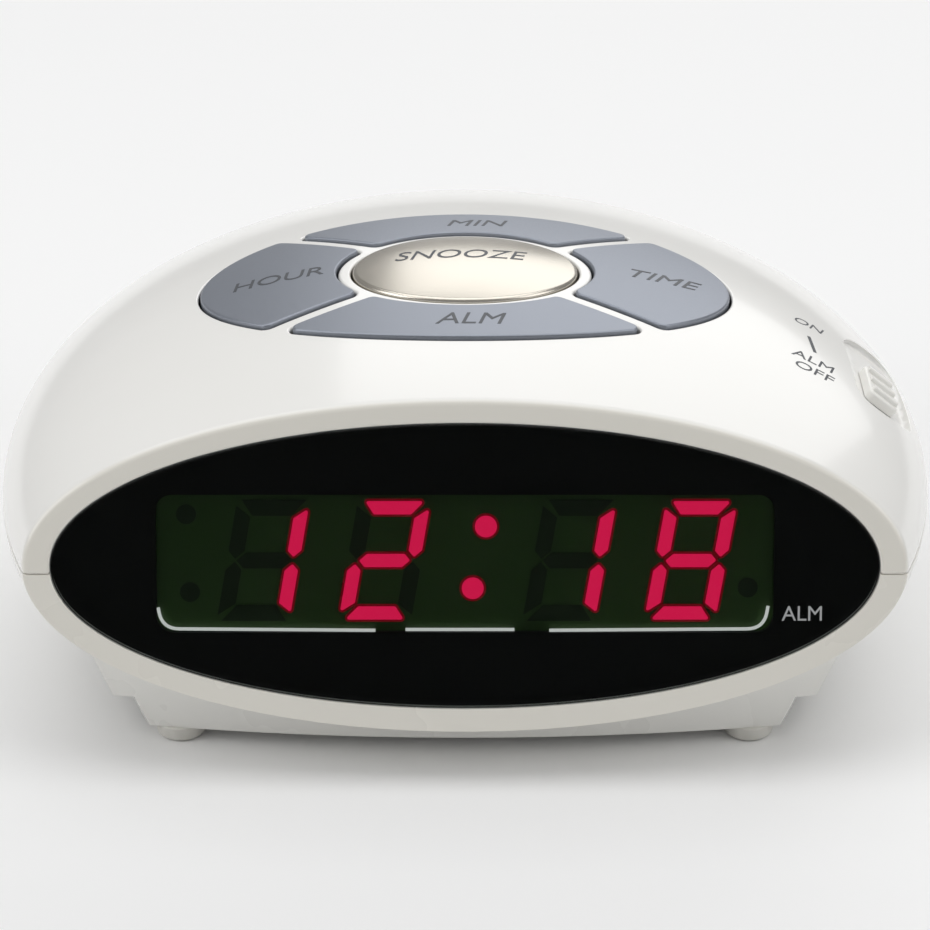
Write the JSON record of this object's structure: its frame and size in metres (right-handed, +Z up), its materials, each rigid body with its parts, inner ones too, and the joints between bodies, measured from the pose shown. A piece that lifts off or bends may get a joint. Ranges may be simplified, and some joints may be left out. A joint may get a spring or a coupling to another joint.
{
  "type": "digital alarm clock",
  "caption": "Egg-shaped mains alarm clock: leaning oval smoked lens over a red LED display, ring of silver keys round a plated snooze button, stepped plinth on rubber feet.",
  "frame": {"origin": "on the table under the middle of the clock's bounding box", "axes": "+Z up, display towards -Y, the clock's right-hand side as its user sees it at +X"},
  "size_m": [0.126, 0.117, 0.0509],
  "materials": {
    "housing_shell": "glossy white moulded ABS",
    "housing_base": "white moulded ABS, slightly duller underneath",
    "lens": "glossy smoked acrylic",
    "lens_print": "black print behind the lens",
    "display_rim": "white display rim",
    "display_face": "dark green display face",
    "lit_segment": "lit red LED segment",
    "unlit_segment": "unlit LED segment",
    "board": "green glass-fibre circuit board",
    "paper_board": "brown phenolic circuit board",
    "cable": "grey PVC ribbon cable",
    "snooze_plating": "satin nickel plating on ABS",
    "key_paint": "silver-grey metallic paint on ABS",
    "spring_wire": "bright spring wire",
    "switch_body": "black moulded switch body",
    "switch_stem": "dark moulded push stem",
    "slider": "white moulded ABS",
    "battery_case": "plain dark battery jacket",
    "black_plastic": "black moulded plastic",
    "capacitor_sleeve": "dark blue sleeve",
    "core_steel": "laminated silicon steel",
    "coil_tape": "yellow insulating tape over copper",
    "grommet_pvc": "black soft PVC",
    "screw_steel": "zinc-plated steel",
    "foot_rubber": "off-white rubber"
  },
  "bodies": {
    "housing": {"upper_housing": "housing_shell", "lower_housing": "housing_base", "front_lens": "lens", "lens_mask": "lens_print", "display_frame": "display_rim", "led_display": "display_face", "lit_segments": "lit_segment", "unlit_segments": "unlit_segment", "display_board": "board", "ribbon_cable": "cable", "snooze_spring": "spring_wire", "key_board": "paper_board", "key_switches": "switch_body", "key_cable": "cable", "alarm_slide_switch": "switch_body", "backup_battery": "battery_case", "battery_snap": "black_plastic", "main_board": "paper_board", "clock_chip": "black_plastic", "capacitors": "capacitor_sleeve", "transformer_core": "core_steel", "transformer_coil": "coil_tape", "buzzer": "black_plastic", "cord_grommet": "grommet_pvc", "housing_screws": "screw_steel", "board_screws": "screw_steel", "front_left_foot": "foot_rubber", "front_right_foot": "foot_rubber", "rear_left_foot": "foot_rubber", "rear_right_foot": "foot_rubber"},
    "snooze": {"snooze_button": "snooze_plating", "snooze_switch_button": "switch_stem"},
    "hour": {"hour_key": "key_paint", "hour_switch_button": "switch_stem"},
    "minute": {"minute_key": "key_paint", "minute_switch_button": "switch_stem"},
    "time": {"time_key": "key_paint", "time_switch_button": "switch_stem"},
    "alarm": {"alarm_key": "key_paint", "alarm_switch_button": "switch_stem"},
    "slider": {"alarm_slider": "slider"},
    "cover": {"battery_cover": "housing_base"}
  },
  "joints": [
    {"name": "snooze_press", "type": "slide", "parent": "housing", "child": "snooze", "axis": [0, 0, -1], "range_m": [0, 0.001], "stiffness_N_per_m": 1500, "deforming": ["snooze_spring"]},
    {"name": "hour_press", "type": "slide", "parent": "housing", "child": "hour", "axis": [0, 0, -1], "range_m": [0, 0.0007], "stiffness_N_per_m": 1500},
    {"name": "minute_press", "type": "slide", "parent": "housing", "child": "minute", "axis": [0, 0, -1], "range_m": [0, 0.0007], "stiffness_N_per_m": 1500},
    {"name": "time_press", "type": "slide", "parent": "housing", "child": "time", "axis": [0, 0, -1], "range_m": [0, 0.0007], "stiffness_N_per_m": 1500},
    {"name": "alarm_press", "type": "slide", "parent": "housing", "child": "alarm", "axis": [0, 0, -1], "range_m": [0, 0.0007], "stiffness_N_per_m": 1500},
    {"name": "alarm_slide", "type": "slide", "parent": "housing", "child": "slider", "axis": [0, 1, 0], "range_m": [0, 0.004]},
    {"name": "cover_slide", "type": "slide", "parent": "housing", "child": "cover", "axis": [0, 1, 0], "range_m": [0, 0.04]}
  ]
}
